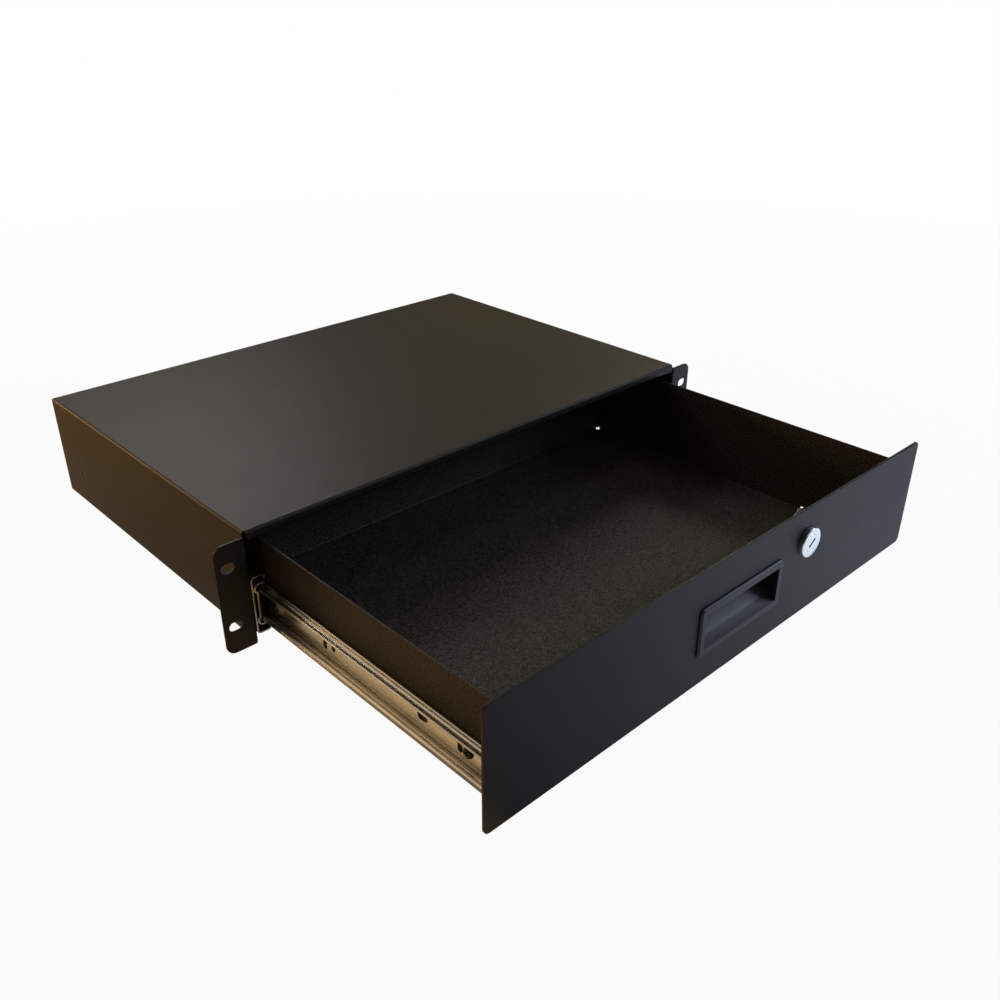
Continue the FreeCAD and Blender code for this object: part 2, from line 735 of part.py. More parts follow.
def make_cam():
    y0 = panel_front + barrel_end + cam_gap
    y1 = y0 + cam_thickness
    boss = y_rod(cam_boss_radius, lock_x, y0, y1, lock_z)
    tip = y_rod(cam_tip_radius, lock_x, y0, y1, lock_z + cam_tip_reach)
    bar = box(lock_x - cam_tip_radius, lock_x + cam_tip_radius, y0, y1, lock_z, lock_z + cam_tip_reach)
    half = cam_square / 2 + thread_gap
    square = box(lock_x - half, lock_x + half, y0 - over, y1 + over, lock_z - half, lock_z + half)
    return turned(join([boss, tip, bar]).cut(square))


def make_cam_washer():
    y0 = panel_front + barrel_end + cam_gap + cam_thickness
    washer = sided_y(cam_washer_radius, lock_x, y0, y0 + cam_washer_height, lock_z)
    bore = sided_y(cam_screw_shank + thread_gap, lock_x, y0 - over, y0 + cam_washer_height + over, lock_z)
    return turned(washer.cut(bore))


def make_cam_screw():
    seat = panel_front + barrel_end + cam_gap + cam_thickness + cam_washer_height
    head = sided_y(cam_screw_flats / 2, lock_x, seat, seat + cam_screw_height, lock_z, nut_sides)
    shank_end = seat - cam_washer_height - cam_screw_length + thread_gap
    shank = sided_y(cam_screw_shank, lock_x, shank_end, seat, lock_z)
    return turned(join([head, shank]))


# The plug and the cam are drawn upright and turned together to the cam's angle.
def turned(shape):
    copy = shape.copy()
    copy.rotate(vec(lock_x, 0, lock_z), vec(0, 1, 0), cam_tilt)
    return copy


# ---------------------------------------------------------------- all sub-parts
def make_parts():
    parts = {"casing_shell": make_casing(), "drawer_tray": make_tray(), "front_panel": make_panel(),
             "panel_nuts": make_panel_nuts(), "pull_handle": make_pull(), "lock_housing": make_lock_housing(),
             "lock_nut": make_lock_nut(), "lock_plug": make_lock_plug(), "lock_wafers": make_lock_wafers(),
             "lock_cam": make_cam(), "cam_washer": make_cam_washer(), "cam_screw": make_cam_screw()}
    for name, side in (("left", -1), ("right", 1)):
        parts[name + "_cabinet_member"] = make_cabinet_member(side)
        parts[name + "_cabinet_screws"] = make_cabinet_screws(side)
        parts[name + "_rear_bumper"] = make_rear_bumper(side)
        parts[name + "_intermediate_member"] = make_intermediate(side)
        parts[name + "_drawer_member"] = make_drawer_member(side)
        screws, nuts = make_member_screws(side)
        parts[name + "_member_screws"] = screws
        parts[name + "_member_nuts"] = nuts
        cage, balls = make_outer_cage(side)
        parts[name + "_outer_cage"] = cage
        parts[name + "_outer_balls"] = balls
        cage, balls = make_inner_cage(side)
        parts[name + "_inner_cage"] = cage
        parts[name + "_inner_balls"] = balls
    return parts


os.makedirs("parts", exist_ok=True)
for node, shape in make_parts().items():
    shape.exportStep("parts/" + node + ".step")
    size = shape.BoundBox
    print(f"{node:26s} valid {shape.isValid()} solids {len(shape.Solids)} volume {shape.Volume:9.1f}",
          f"x {size.XMin:.2f} {size.XMax:.2f} y {size.YMin:.2f} {size.YMax:.2f}",
          f"z {size.ZMin:.2f} {size.ZMax:.2f}")
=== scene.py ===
import math
from collections import namedtuple

import bmesh
import bpy
from mathutils import Matrix, Vector


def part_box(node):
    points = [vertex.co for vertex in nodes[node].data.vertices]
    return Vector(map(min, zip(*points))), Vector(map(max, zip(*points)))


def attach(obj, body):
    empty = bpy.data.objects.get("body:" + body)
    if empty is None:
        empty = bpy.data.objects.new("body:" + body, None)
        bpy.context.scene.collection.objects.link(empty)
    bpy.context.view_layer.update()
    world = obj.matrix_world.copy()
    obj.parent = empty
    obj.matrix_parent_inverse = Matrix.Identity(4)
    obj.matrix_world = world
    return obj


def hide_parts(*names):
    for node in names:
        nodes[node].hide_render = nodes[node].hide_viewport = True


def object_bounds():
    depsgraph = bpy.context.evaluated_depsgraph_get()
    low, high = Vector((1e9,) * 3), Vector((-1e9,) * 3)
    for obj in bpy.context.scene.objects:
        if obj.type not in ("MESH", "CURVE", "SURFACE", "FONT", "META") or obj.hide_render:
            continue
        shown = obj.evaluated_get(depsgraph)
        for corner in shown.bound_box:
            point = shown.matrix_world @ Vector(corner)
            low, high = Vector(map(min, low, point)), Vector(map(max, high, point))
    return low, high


# Sliding rack drawer: black powder-coated sheet steel, zinc-plated ball-bearing slides, a moulded pull
# and a chromed cam lock. Places are in metres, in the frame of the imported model. Sizes that are given
# in millimetres are multiplied by MM where they are used.

MM = 0.001
WELD = 0.002 * MM       # corners of loose triangles nearer than this are one corner
FLAT = 0.5              # degrees: faces that turn less than this are one face
FOLD = 32.0             # degrees: a sharper fold than this stays an edge
MIDDLE = (0.3, 0.7)     # noise is seldom outside these values
SIDES = ("left", "right")

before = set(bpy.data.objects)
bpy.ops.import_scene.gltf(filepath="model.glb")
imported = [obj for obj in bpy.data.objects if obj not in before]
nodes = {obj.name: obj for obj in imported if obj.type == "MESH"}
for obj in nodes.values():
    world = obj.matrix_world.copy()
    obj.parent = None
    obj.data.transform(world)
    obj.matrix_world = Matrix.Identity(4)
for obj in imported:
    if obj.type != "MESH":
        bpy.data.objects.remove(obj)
cad_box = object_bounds()
scene = bpy.context.scene

# ---------------------------------------------------------------- places read from the model
pull_low, pull_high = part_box("pull_handle")
lock_low, lock_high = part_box("lock_housing")
lock_nut_low, lock_nut_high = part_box("lock_nut")
tray_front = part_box("drawer_tray")[0].y
lock_x = (lock_low.x + lock_high.x) / 2
lock_z = (lock_low.z + lock_high.z) / 2
panel_sheet = 2.0 * MM
panel_front = tray_front - panel_sheet
floor_gap = 0.2 * MM
floor_height = cad_box[0][2] - floor_gap


# ---------------------------------------------------------------- materials
def linear(code):
    """An sRGB hex colour as the linear values that the shaders take."""
    parts = [int(code[i:i + 2], 16) / 255 for i in (1, 3, 5)]
    return tuple(p / 12.92 if p <= 0.04045 else ((p + 0.055) / 1.055) ** 2.4 for p in parts) + (1.0,)


def per_metre(millimetres):
    """Noise scale whose grains are this many millimetres across."""
    return 1.0 / (millimetres * MM)


def run(low, high, start, end):
    """Values that take a pattern from low to high, between two values of its own."""
    return {"From Min": start, "From Max": end, "To Min": low, "To Max": high}


def empty_tree(holder):
    """The node tree of a material or a world, with its first nodes taken out."""
    holder.use_nodes = True
    holder.node_tree.nodes.clear()
    return holder.node_tree


def add(tree, kind, values=None, links=None, **settings):
    """Adds one node with its settings, its values and its links."""
    piece = tree.nodes.new(kind)
    for name, value in settings.items():
        setattr(piece, name, value)
    for socket, value in (values or {}).items():
        piece.inputs[socket].default_value = value
    for socket, source in (links or {}).items():
        tree.links.new(source, piece.inputs[socket])
    return piece


# A pattern of noise: the width of its grains in millimetres, its detail and roughness, and the scale of
# its place where the grains are drawn out.
Grain = namedtuple("Grain", "size detail roughness drawn", defaults=(2.0, 0.5, None))


def grained(name, surface, grains, colour, roughness, bump=None):
    """A material that varies with grains of noise, each known by its name.

    surface holds the plain values of the shader. colour is a grain, the dark and the light colour, and
    the values of the grain where it reaches them. roughness lists grains with the values that they run
    between, which are added up. bump is a grain and its depth in millimetres.
    """
    material = bpy.data.materials.new(name)
    tree = empty_tree(material)
    shader = add(tree, "ShaderNodeBsdfPrincipled", surface)
    add(tree, "ShaderNodeOutputMaterial", links={"Surface": shader.outputs["BSDF"]})
    place = add(tree, "ShaderNodeTexCoord").outputs["Object"]
    noise = {}
    for grain, (size, detail, rough, drawn) in grains.items():
        where = place
        if drawn:
            where = add(tree, "ShaderNodeMapping", {"Scale": drawn}, {"Vector": place}).outputs["Vector"]
        values = {"Scale": per_metre(size), "Detail": detail, "Roughness": rough}
        noise[grain] = add(tree, "ShaderNodeTexNoise", values, {"Vector": where}).outputs["Fac"]
    grain, dark, light, span = colour
    runs = [(grain, run(0.0, 1.0, *span))]
    runs += [(grain, run(low, high, *MIDDLE)) for grain, low, high in roughness]
    shade, *roughs = [add(tree, "ShaderNodeMapRange", values, {"Value": noise[grain]}).outputs["Result"]
                      for grain, values in runs]
    mixed = add(tree, "ShaderNodeMix", {6: linear(dark), 7: linear(light)}, {0: shade},
                data_type="RGBA", clamp_factor=True).outputs[2]
    tree.links.new(mixed, shader.inputs["Base Color"])
    total = roughs[0]
    for rough in roughs[1:]:
        total = add(tree, "ShaderNodeMath", links={0: total, 1: rough}, operation="ADD").outputs["Value"]
    tree.links.new(total, shader.inputs["Roughness"])
    if bump:
        grain, depth = bump
        raised = add(tree, "ShaderNodeBump", {"Strength": 1.0, "Distance": depth * MM},
                     {"Height": noise[grain]}).outputs["Normal"]
        tree.links.new(raised, shader.inputs["Normal"])
    return material


def powder_coat(name, dark, light, sand, depth, rough, shine):
    """Polyester powder, sprayed and baked on sheet steel. A closed satin skin with a fine sandy grain,
    which breaks its highlights into dust. The sand, 0.2 mm on the real coat, is drawn coarser so that it
    shows, and the flow of the melted powder is a faint change of gloss."""
    return grained(name, {"IOR": 1.5, "Specular IOR Level": shine},
                   {"sand": Grain(sand, 3.0, 0.6), "flow": Grain(38.0)},
                   ("sand", dark, light, (0.38, 0.66)),
                   [("flow", -0.012, 0.012), ("sand", rough - 0.07, rough + 0.07)],
                   ("sand", depth))


def zinc_plate(name, dull, bright, rough):
    """Bright zinc, electroplated and passivated, on rolled strip. A soft silvery mirror, drawn out along
    the strip by the fine lines of its rolling, with faint clouds of the passivation."""
    return grained(name, {"Metallic": 1.0},
                   {"lines": Grain(0.35, 3.0, 0.6, (1.0, 0.012, 1.0)), "clouds": Grain(14.0)},
                   ("clouds", dull, bright, MIDDLE),
                   [("lines", rough - 0.01, rough + 0.01)],
                   ("lines", 0.0001))


def moulded_plastic(name, dark, light, pit, depth, rough, ior):
    """Black plastic, injection moulded in a spark-eroded tool. An even satin with a fine leathery pit,
    drawn a little coarser than the real 0.1 mm."""
    return grained(name, {"IOR": ior, "Specular IOR Level": 0.45},
                   {"pits": Grain(pit, 2.0, 0.55), "flow": Grain(22.0)},
                   ("flow", dark, light, MIDDLE),
                   [("pits", rough - 0.06, rough + 0.06)],
                   ("pits", depth))


casing_coat = powder_coat("powder_coated_steel_black_satin", "#12110f", "#2a2825",
                          sand=0.7, depth=0.05, rough=0.5, shine=0.3)
panel_coat = powder_coat("powder_coated_steel_black_panel", "#101011", "#1e1f21",
                         sand=0.6, depth=0.03, rough=0.46, shine=0.28)
tray_coat = powder_coat("powder_coated_steel_black_sand", "#000000", "#56534a",
                        sand=1.2, depth=0.55, rough=0.5, shine=0.22)
rail_zinc = zinc_plate("zinc_plated_steel_strip", "#d6d3ca", "#e2dfd6", rough=0.27)
screw_zinc = zinc_plate("black_zinc_plated_steel", "#1b1b1c", "#2c2c2e", rough=0.3)
fastener_zinc = zinc_plate("zinc_plated_steel_fasteners", "#a9a8a2", "#c8c7c1", rough=0.26)
pull_plastic = moulded_plastic("ABS_black_moulded", "#0e0e0f", "#161617",
                               pit=0.3, depth=0.03, rough=0.42, ior=1.54)
bumper_plastic = moulded_plastic("nylon_black_moulded", "#121212", "#1c1c1b",
                                 pit=0.25, depth=0.02, rough=0.5, ior=1.53)
# Die-cast zinc, polished, nickelled and chromed. A cold mirror with the soft ripple of the casting.
lock_chrome = grained("chromed_zinc_casting", {"Metallic": 1.0},
                      {"ripple": Grain(5.0), "haze": Grain(0.8, 3.0)},
                      ("ripple", "#eef2f6", "#fbfdff", MIDDLE), [("haze", 0.06, 0.14)], ("ripple", 0.015))
# Chromium steel, ground and lapped. A bright grey mirror with a thin film of grease.
ball_steel = grained("chromium_steel_lapped", {"Metallic": 1.0}, {"film": Grain(1.2)},
                     ("film", "#b9bcc0", "#cdd0d3", MIDDLE), [("film", 0.05, 0.16)])
# Brass strip, stamped. Yellow and dull, with fine marks of the strip.
wafer_brass = grained("brass_strip_stamped", {"Metallic": 1.0}, {"marks": Grain(0.4, 3.0)},
                      ("marks", "#a9884a", "#cba766", MIDDLE), [("marks", 0.24, 0.4)])


# ---------------------------------------------------------------- making pieces
def set_up(name, mesh, material, body, slot, *stands_for):
    """A finished mesh as a piece that rides on a body and stands for CAD nodes."""
    mesh.materials.clear()
    mesh.materials.append(material)
    piece = bpy.data.objects.new(name, mesh)
    scene.collection.objects.link(piece)
    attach(piece, body)
    if stands_for:
        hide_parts(*stands_for)
    return piece


def smooth(mesh, degrees=FOLD):
    """Shades the curved faces smooth and keeps the folds sharper than this angle."""
    for face in mesh.polygons:
        face.use_smooth = True
    mesh.set_sharp_from_angle(angle=math.radians(degrees))


def rounded_edges(piece, width, segments=2, limited=True):
    """Breaks the sharp edges by this many millimetres, which gives them their thin bright line."""
    bevel = piece.modifiers.new("broken_edges", "BEVEL")
    bevel.width = width * MM
    bevel.segments = segments
    bevel.limit_method = "ANGLE"
    bevel.angle_limit = math.radians(FOLD)
    bevel.use_clamp_overlap = limited
    bevel.harden_normals = True


def merged_copy(node, whole=True):
    """A node's loose triangles as one shell, whose flat faces are made whole if asked."""
    shell = bmesh.new()
    shell.from_mesh(nodes[node].data)
    bmesh.ops.remove_doubles(shell, verts=shell.verts, dist=WELD)
    if whole:
        bmesh.ops.dissolve_limit(shell, angle_limit=math.radians(FLAT), verts=shell.verts, edges=shell.edges,
                                 delimit={"NORMAL"})
    return shell


def to_mesh(shell, name):
    """The shell as a mesh. The normals that a CAD node's triangles came with are left out."""
    mesh = bpy.data.meshes.new(name)
    shell.to_mesh(mesh)
    shell.free()
    stale = mesh.attributes.get("custom_normal")
    if stale is not None:
        mesh.attributes.remove(stale)
    return mesh


def finished(node, material, body, slot, edge, segments=2, limited=True):
    """A CAD node with its edges broken by so many millimetres, as the coat or the tumbling leaves them.

    The tray is the one node that isn't limited: its edges would be left sharp between its holes. It keeps
    its triangles, so that the bevel leaves the holes open.
    """
    mesh = to_mesh(merged_copy(node, limited), node + "_finished")
    smooth(mesh)
    rounded_edges(set_up(node + "_finished", mesh, material, body, slot, node), edge, segments, limited)


def made_anew(shell, node, material, body, slot):
    """A shell as the piece that stands for a CAD node."""
    mesh = to_mesh(shell, node + "_finished")
    smooth(mesh)
    return set_up(node + "_finished", mesh, material, body, slot, node)


def spun(profile, start, axis, sides=48, closed=False):
    """A turned piece. The profile gives radii and distances from the start along the axis, in millimetres."""
    shell = bmesh.new()
    verts = [shell.verts.new((radius * MM, 0, along * MM)) for radius, along in profile]
    edges = [shell.edges.new(pair) for pair in zip(verts, verts[1:])]
    if closed:
        edges.append(shell.edges.new((verts[-1], verts[0])))
    bmesh.ops.spin(shell, geom=verts + edges, cent=(0, 0, 0), axis=(0, 0, 1), angle=math.tau, steps=sides,
                   use_merge=True)
    bmesh.ops.remove_doubles(shell, verts=shell.verts, dist=WELD)
    bmesh.ops.recalc_face_normals(shell, faces=shell.faces)
    turn = Vector((0, 0, 1)).rotation_difference(Vector(axis)).to_matrix().to_4x4()
    bmesh.ops.transform(shell, matrix=Matrix.Translation(Vector(start)) @ turn, verts=shell.verts)
    return shell


def joined(*shells):
    """One shell made of several, which are finished with here."""
    whole = bmesh.new()
    for shell in shells:
        whole.from_mesh(to_mesh(shell, "part_of_piece"))
    return whole


def block(low, high):
    """A bar between two corners, for cutting."""
    shell = bmesh.new()
    size = Vector(high) - Vector(low)
    middle = (Vector(high) + Vector(low)) / 2
    bmesh.ops.create_cube(shell, size=1.0, matrix=Matrix.Translation(middle) @ Matrix.Diagonal((*size, 1.0)))
    return shell


def hexagon(across_flats, start, axis, length, corner_on):
    """A six-sided bar, with one corner on the given direction. The lengths are in millimetres."""
    shell = bmesh.new()
    axis = Vector(axis)
    corner_on = Vector(corner_on)
    basis = Matrix((corner_on, axis.cross(corner_on), axis)).transposed().to_4x4()
    disc = bmesh.ops.create_circle(shell, cap_ends=True, segments=6, radius=across_flats * MM / math.sqrt(3))
    bmesh.ops.rotate(shell, verts=disc["verts"], cent=(0, 0, 0), matrix=Matrix.Rotation(math.pi / 2, 3, "Z"))
    raised = bmesh.ops.extrude_face_region(shell, geom=list(shell.faces))
    tops = [item for item in raised["geom"] if isinstance(item, bmesh.types.BMVert)]
    bmesh.ops.translate(shell, verts=tops, vec=(0, 0, length * MM))
    bmesh.ops.recalc_face_normals(shell, faces=shell.faces)
    bmesh.ops.transform(shell, matrix=Matrix.Translation(Vector(start)) @ basis, verts=shell.verts)
    return shell


def carved(shell, cutters, operation="DIFFERENCE"):
    """Cuts other shells out of this one, or keeps what they share. The cutters are finished with here."""
    body = bpy.data.objects.new("carved", to_mesh(shell, "carved"))
    tools = [bpy.data.objects.new("cutter", to_mesh(cutter, "cutter")) for cutter in cutters]
    for item in [body] + tools:
        scene.collection.objects.link(item)
    for tool in tools:
        cut = body.modifiers.new("cut", "BOOLEAN")
        cut.operation = operation
        cut.solver = "EXACT"
        cut.object = tool
    result = bmesh.new()
    result.from_object(body, bpy.context.evaluated_depsgraph_get())
    for item in [body] + tools:
        bpy.data.objects.remove(item)
    return result


def threads(major, minor, pitch, first, last):
    """The zigzag of a thread's section, from one place along the axis to another."""
    count = int((last - first) / pitch)
    step = (last - first) / count
    points = [(minor, first)]
    for turn in range(count):
        points += [(major, first + (turn + 0.5) * step), (minor, first + (turn + 1) * step)]
    return points


# ---------------------------------------------------------------- sheet metal and slides
finished("casing_shell", casing_coat, "casing", "black_powder_coat", 0.3, segments=3)
finished("drawer_tray", tray_coat, "drawer", "black_powder_coat", 0.3, segments=3, limited=False)
finished("front_panel", panel_coat, "drawer", "black_powder_coat", 0.5, segments=3)
for side in SIDES:
    finished(side + "_cabinet_member", rail_zinc, "casing", "zinc_plate", 0.15)
    finished(side + "_intermediate_member", rail_zinc, side + "_intermediate", "zinc_plate", 0.15)
    finished(side + "_drawer_member", rail_zinc, "drawer", "zinc_plate", 0.15)
    finished(side + "_outer_cage", fastener_zinc, side + "_outer_retainer", "zinc_plate", 0.08)
    finished(side + "_inner_cage", fastener_zinc, side + "_inner_retainer", "zinc_plate", 0.08)
    finished(side + "_rear_bumper", bumper_plastic, "casing", "black_plastic", 0.4)


# ---------------------------------------------------------------- screws, nuts and balls
# A CAD node holds several screws, nuts or balls. They are found as its loose parts, and each one is made
# again with its rounded head, its cross recess and its thread, or as a true sphere.
def loose_parts(node):
    """The low and high corners of each loose part of a node, in the order of its vertices."""
    shell = merged_copy(node, whole=False)
    seen = set()
    corners = []
    for first in shell.verts:
        if first in seen:
            continue
        seen.add(first)
        part, front = [], [first]
        while front:
            vert = front.pop()
            part.append(vert.co.copy())
            near = {edge.other_vert(vert) for edge in vert.link_edges} - seen
            seen |= near
            front += near
        corners.append([Vector([pick(place[i] for place in part) for i in range(3)]) for pick in (min, max)])
    shell.free()
    return corners


def seats(node, axis):
    """Where each loose part of a node starts along an axis, and its length in millimetres."""
    along = max(range(3), key=lambda i: abs(axis[i]))
    found = []
    for low, high in loose_parts(node):
        start = (low + high) / 2
        start[along] = low[along] if axis[along] > 0 else high[along]
        found.append((start, (high[along] - low[along]) / MM))
    return found


def cross_recess(top, inward, depth, reach, width):
    """The two crossing slots of a screw's drive, cut down from the top of its head."""
    low, high = top + inward * depth * MM, top - inward * MM
    slots = []
    for long_way in (Vector((0, 1, 0)), Vector((0, 0, 1))):
        short_way = Vector([abs(c) for c in inward.cross(long_way)])
        half = (long_way * reach + short_way * width) * MM / 2
        corners = (low - half, low + half, high - half, high + half)
        slots.append(block([min(c[i] for c in corners) for i in range(3)],
                           [max(c[i] for c in corners) for i in range(3)]))
    return slots


def pan_head(length):
    """Section of an M4 screw with a domed head 2 mm high."""
    head = 2.0
    dome = [(0, 0), (1.6, 0.05), (2.5, 0.25), (3.3, 0.7), (3.72, 1.3), (3.78, head), (1.9, head)]
    return dome + threads(1.88, 1.6, 0.7, head + 0.3, length - 0.5) + [(1.2, length), (0, length)]


def countersunk(length):
    """Section of a screw with a flat sunk head and a plain short shank."""
    return [(0, 0), (3.45, 0), (3.58, 0.08), (1.85, 1.1), (1.75, length - 0.25), (1.4, length), (0, length)]


def screws(node, inward, section, recess, material, body):
    """Screws of one section. The recess is its depth, reach and width."""
    inward = Vector(inward)
    made = [carved(spun(section(length), top, inward), cross_recess(top, inward, *recess))
            for top, length in seats(node, inward)]
    made_anew(joined(*made), node, material, body, "zinc_plate")


def hex_nut(across_flats, height, bore, start, axis, corner_on):
    """A nut with both faces chamfered and a threaded bore, whose radius is given."""
    pitch, depth, lead = 0.7, 0.2, 0.3
    rim = across_flats / math.sqrt(3)
    edge = 0.12 * across_flats
    mouth = bore + 0.35
    drop = 0.55 * edge
    ring = [(mouth, 0), (rim - edge, 0), (rim + 0.1, drop), (rim + 0.1, height - drop), (rim - edge, height),
            (mouth, height)]
    bore_thread = threads(bore, bore + depth, pitch, lead, height - lead)
    ring += [(radius, height - along) for radius, along in bore_thread]
    bar = hexagon(across_flats, start, axis, height, corner_on)
    return carved(spun(ring, start, axis, closed=True), [bar], "INTERSECT")


def small_nuts(node, axis, corner_on):
    """M4 nuts, 7 mm across their flats."""
    made = [hex_nut(7.0, height, 1.9, start, axis, corner_on) for start, height in seats(node, axis)]
    made_anew(joined(*made), node, fastener_zinc, "drawer", "zinc_plate")


def bearing_balls(node, body, radius):
    """The balls of one race, each a true sphere at the middle of its CAD solid."""
    shell = bmesh.new()
    for low, high in loose_parts(node):
        bmesh.ops.create_icosphere(shell, subdivisions=4, radius=radius * MM,
                                   matrix=Matrix.Translation((low + high) / 2))
    mesh = to_mesh(shell, node + "_lapped")
    smooth(mesh, 180.0)
    set_up(node + "_lapped", mesh, ball_steel, body, "bearing_steel", node)


for side, way in zip(SIDES, (-1, 1)):
    screws(side + "_member_screws", (-way, 0, 0), pan_head, (1.2, 3.4, 0.8), screw_zinc, "drawer")
    screws(side + "_cabinet_screws", (way, 0, 0), countersunk, (0.9, 3.0, 0.7), fastener_zinc, "casing")
    small_nuts(side + "_member_nuts", (-way, 0, 0), (0, 1, 0))
small_nuts("panel_nuts", (0, 1, 0), (0, 0, 1))


# ---------------------------------------------------------------- pull and lock
def pull():
    """The moulded pull. The floor of its pocket is eased into one ramp, up to the back."""
    front, back = panel_front + 4.0 * MM, panel_front + 17.0 * MM
    low = pull_low.z + 5.2 * MM
    reach = pull_high.x - 5.0 * MM
    climb_front, climb_back = 3.2 * MM, 18.0 * MM
    hollow = 1.15
    slack = 0.1 * MM
    shell = merged_copy("pull_handle")
    for vert in shell.verts:
        deep = (vert.co.y - front) / (back - front)
        if not -0.01 <= deep <= 1.01 or abs(vert.co.x) >= reach:
            continue
        deep = max(deep, 0)
        if low - slack <= vert.co.z <= low + climb_back * deep + slack:
            vert.co.z = max(vert.co.z, low + climb_front + (climb_back - climb_front) * deep ** hollow)
    rounded_edges(made_anew(shell, "pull_handle", pull_plastic, "drawer", "black_plastic"), 0.4, 3)


def lock_housing():
    """The lock's round head, turned with a rolled rim, and its threaded barrel with two flats."""
    face = Vector((lock_x, lock_low.y, lock_z))
    rear = (lock_high.y - lock_low.y) / MM
    bore, head_depth, half_flats, clear = 6.25, 4.0, 7.8 * MM, 12.0 * MM
    head = [(bore, 0.45), (6.6, 0.1), (9.2, 0.1), (9.35, 0), (9.9, 0), (10.35, 0.12), (10.67, 0.42),
            (10.8, 0.85), (10.8, 3.6), (10.6, head_depth), (bore, head_depth)]
    barrel = [(bore, rear), (bore, head_depth - 0.1)]
    barrel += threads(8.98, 8.55, 1.0, head_depth + 0.1, rear - 0.3) + [(8.3, rear)]
    flats = block((lock_x - half_flats, lock_low.y, lock_z - clear),
                  (lock_x + half_flats, lock_high.y + MM, lock_z + clear))
    turned_head = spun(head, face, (0, 1, 0), sides=96, closed=True)
    turned_barrel = spun(barrel, face, (0, 1, 0), sides=72, closed=True)
    made_anew(joined(turned_head, carved(turned_barrel, [flats], "INTERSECT")), "lock_housing", lock_chrome,
              "drawer", "chrome_plate")


def lock_nut():
    """The large nut that holds the lock in the panel, 22 mm across its flats."""
    start = Vector((lock_x, lock_nut_low.y, lock_z))
    height = (lock_nut_high.y - lock_nut_low.y) / MM
    nut = hex_nut(22.0, height, 9.0, start, (0, 1, 0), (0, 0, 1))
    made_anew(nut, "lock_nut", lock_chrome, "drawer", "chrome_plate")


pull()
lock_housing()
lock_nut()
finished("lock_plug", lock_chrome, "lock", "chrome_plate", 0.1)
finished("lock_wafers", wafer_brass, "lock", "brass_wafer", 0.04)
finished("lock_cam", fastener_zinc, "lock", "zinc_plate", 0.12)
finished("cam_washer", fastener_zinc, "lock", "zinc_plate", 0.08)
finished("cam_screw", fastener_zinc, "lock", "zinc_plate", 0.1)
for side in SIDES:
    bearing_balls(side + "_outer_balls", side + "_outer_retainer", 2.38)
    bearing_balls(side + "_inner_balls", side + "_inner_retainer", 2.38)


# ---------------------------------------------------------------- floor, light and camera
def glow(tree, shader, colour, *shares):
    """Mixes in an even glow of this colour, for the plain white that the camera sees or for a painted
    reflection. Its share is the product of these sockets.
    """
    share = shares[0]
    for other in shares[1:]:
        share = add(tree, "ShaderNodeMath", links={0: share, 1: other}, operation="MULTIPLY").outputs[0]
    light = add(tree, "ShaderNodeEmission", {"Color": linear(colour), "Strength": 1.0})
    return add(tree, "ShaderNodeMixShader", links={0: share, 1: shader, 2: light.outputs[0]}).outputs[0]


def make_floor():
    """White paper whose colour is a painted reflection: tinted warm on the left and cool on the right, so
    that the coats and slides mirror a warm left and a cool right. Glossy rays see painted reflections glowing
    on top of it: cool on the right, and amber left of the drawer, less towards the back. Far from the drawer
    it is seen as plain white."""
    reach = 6.0
    shell = bmesh.new()
    bmesh.ops.create_grid(shell, x_segments=1, y_segments=1, size=reach,
                          matrix=Matrix.Translation((0, 0, floor_height)))
    mesh = to_mesh(shell, "floor")
    material = bpy.data.materials.new("studio_paper_with_painted_reflections")
    tree = empty_tree(material)
    place = add(tree, "ShaderNodeTexCoord").outputs["Object"]
    parted = add(tree, "ShaderNodeSeparateXYZ", links={"Vector": place})
    across, along = parted.outputs["X"], parted.outputs["Y"]
    far = add(tree, "ShaderNodeVectorMath", links={0: place}, operation="LENGTH").outputs["Value"]
    # The ranges below: the painted warm-to-cool paper colour, the share of the painted cool reflection, the
    # share and the fall-off of the painted amber reflection, and the white that the camera sees.
    painted_reflection_tint, cool, left, dimmer, plain = [
        add(tree, "ShaderNodeMapRange", values, {"Value": source}).outputs["Result"] for source, values in (
            (across, run(0.0, 1.0, -0.32, 0.0)),
            (across, run(0.0, 1.0, -0.28, 0.2)),
            (across, run(1.0, 0.0, -0.222, -0.2)),
            (along, run(0.62, 0.3, -0.12, 0.1)),
            (far, run(0.95, 1.0, 0.5, 1.4)))]
    # The paper's tint is painted reflection colour, warm on the left and cool on the right.
    colour = add(tree, "ShaderNodeMix", {6: linear("#b98a4e"), 7: linear("#e2e8f2")}, {0: painted_reflection_tint},
                 data_type="RGBA", clamp_factor=True).outputs[2]
    paper = add(tree, "ShaderNodeBsdfDiffuse", links={"Color": colour}).outputs[0]
    ray = add(tree, "ShaderNodeLightPath").outputs
    # Painted reflections: glows that only glossy rays see, cool on the right and amber left of the drawer.
    painted_reflections = glow(tree, paper, "#e4efff", cool, ray["Is Glossy Ray"])
    painted_reflections = glow(tree, painted_reflections, "#f4c88e", left, dimmer, ray["Is Glossy Ray"])
    seen = glow(tree, painted_reflections, "#ffffff", plain, ray["Is Camera Ray"])
    add(tree, "ShaderNodeOutputMaterial", links={"Surface": seen})
    mesh.materials.append(material)
    floor = bpy.data.objects.new("floor", mesh)
    scene.collection.objects.link(floor)


def make_world():
    """A dim warm room, which the camera sees as plain white."""
    world = bpy.data.worlds.new("studio")
    tree = empty_tree(world)
    room = add(tree, "ShaderNodeBackground", {"Color": linear("#fff2e2"), "Strength": 0.08}).outputs[0]
    seen = glow(tree, room, "#ffffff", add(tree, "ShaderNodeLightPath").outputs["Is Camera Ray"])
    add(tree, "ShaderNodeOutputWorld", links={"Surface": seen})
    scene.world = world


def turned_to(holder, sight):
    """Turns a lamp or a camera to look along this direction."""
    holder.rotation_euler = sight.to_track_quat("-Z", "Y").to_euler()
    scene.collection.objects.link(holder)


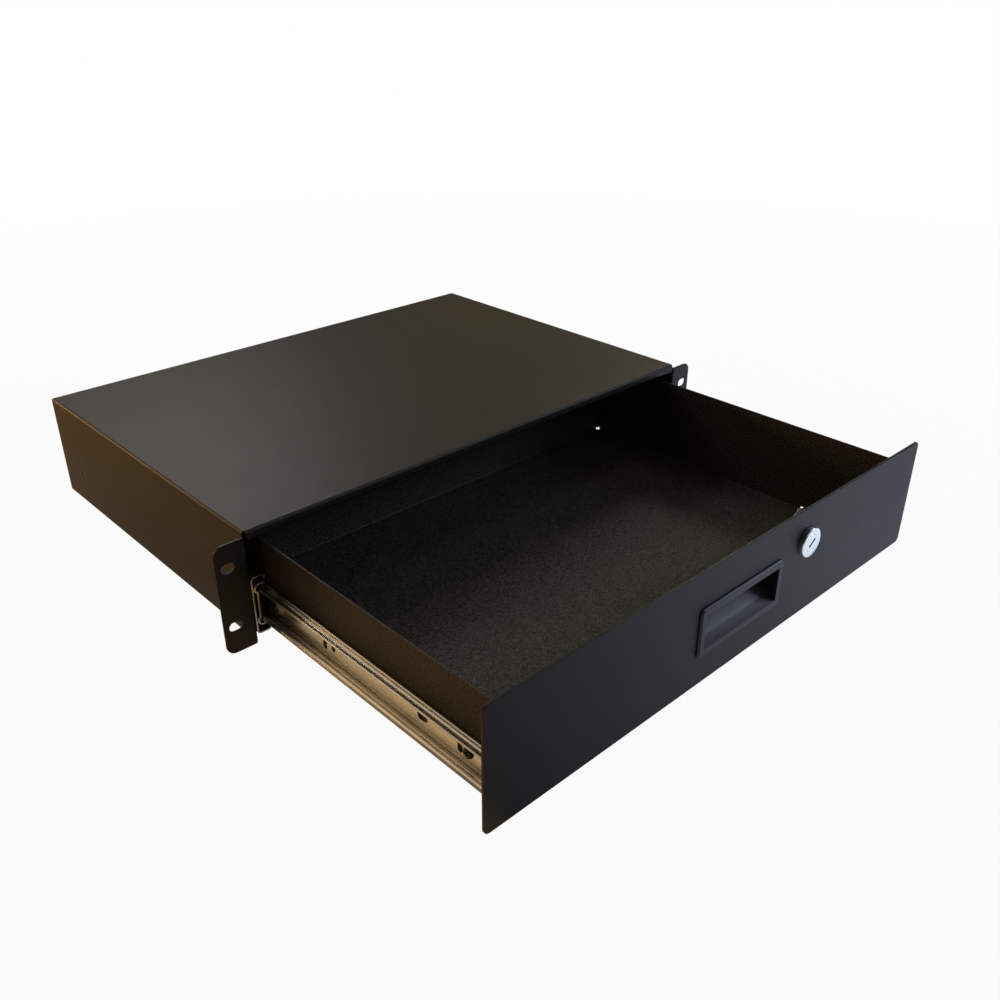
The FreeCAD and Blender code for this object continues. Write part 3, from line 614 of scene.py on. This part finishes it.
def softbox(name, place, target, size, colour, power):
    """A rectangular lamp that faces a point."""
    lamp = bpy.data.lights.new(name, "AREA")
    lamp.shape = "RECTANGLE"
    lamp.size, lamp.size_y = size
    lamp.color = linear(colour)[:3]
    lamp.energy = power
    holder = bpy.data.objects.new(name, lamp)
    holder.location = place
    turned_to(holder, Vector(target) - Vector(place))


def make_camera(place, azimuth, elevation, focal_length):
    """A camera on a 36 mm frame. The azimuth is turned from straight ahead, the elevation looks down."""
    lens = bpy.data.cameras.new("camera")
    lens.sensor_width = 36.0
    lens.lens = focal_length
    lens.clip_start = 10.0 * MM
    holder = bpy.data.objects.new("camera", lens)
    holder.location = place
    azimuth, elevation = math.radians(azimuth), math.radians(elevation)
    level = math.cos(elevation)
    turned_to(holder, Vector((-math.sin(azimuth) * level, math.cos(azimuth) * level, -math.sin(elevation))))
    scene.camera = holder


make_floor()
make_world()
# Each lamp's name, its place, the point that it faces, its width and height, its colour and its watts.
softbox("warm_rear_left", (-0.85, 1.5, 0.22), (0, 0, 0), (0.7, 0.35), "#ffbf78", 11)
softbox("warm_left", (-0.85, 0.68, 0.8), (-0.2, -0.1, 0), (0.9, 0.6), "#ffe0b4", 1.2)
softbox("white_rear", (0.15, 1.1, 0.95), (0, 0, 0), (0.6, 0.4), "#fffaf2", 6.2)
softbox("amber_rear", (1.4, 1.3, 0.55), (0.1, 0.15, 0), (0.8, 0.4), "#ffda61", 0.6)
softbox("key_right", (1.3, 0.6, 1.0), (0, -0.1, 0), (0.3, 0.3), "#fff3e2", 2.6)
softbox("overhead_right", (0.7, -0.1, 1.15), (0, 0, 0), (0.3, 0.3), "#f1f5ff", 0.8)
softbox("cool_right", (1.1, -0.8, 0.6), (0, -0.1, 0), (0.6, 0.4), "#d4e0ff", 5)
softbox("front_top", (0.3, -1.4, 1.2), (0, 0, 0), (1.2, 0.8), "#f2f5ff", 2.5)
make_camera((-0.47319, -0.50748, 0.36012), azimuth=-43.27, elevation=28.35, focal_length=35.84)
scene.view_settings.view_transform = "Standard"
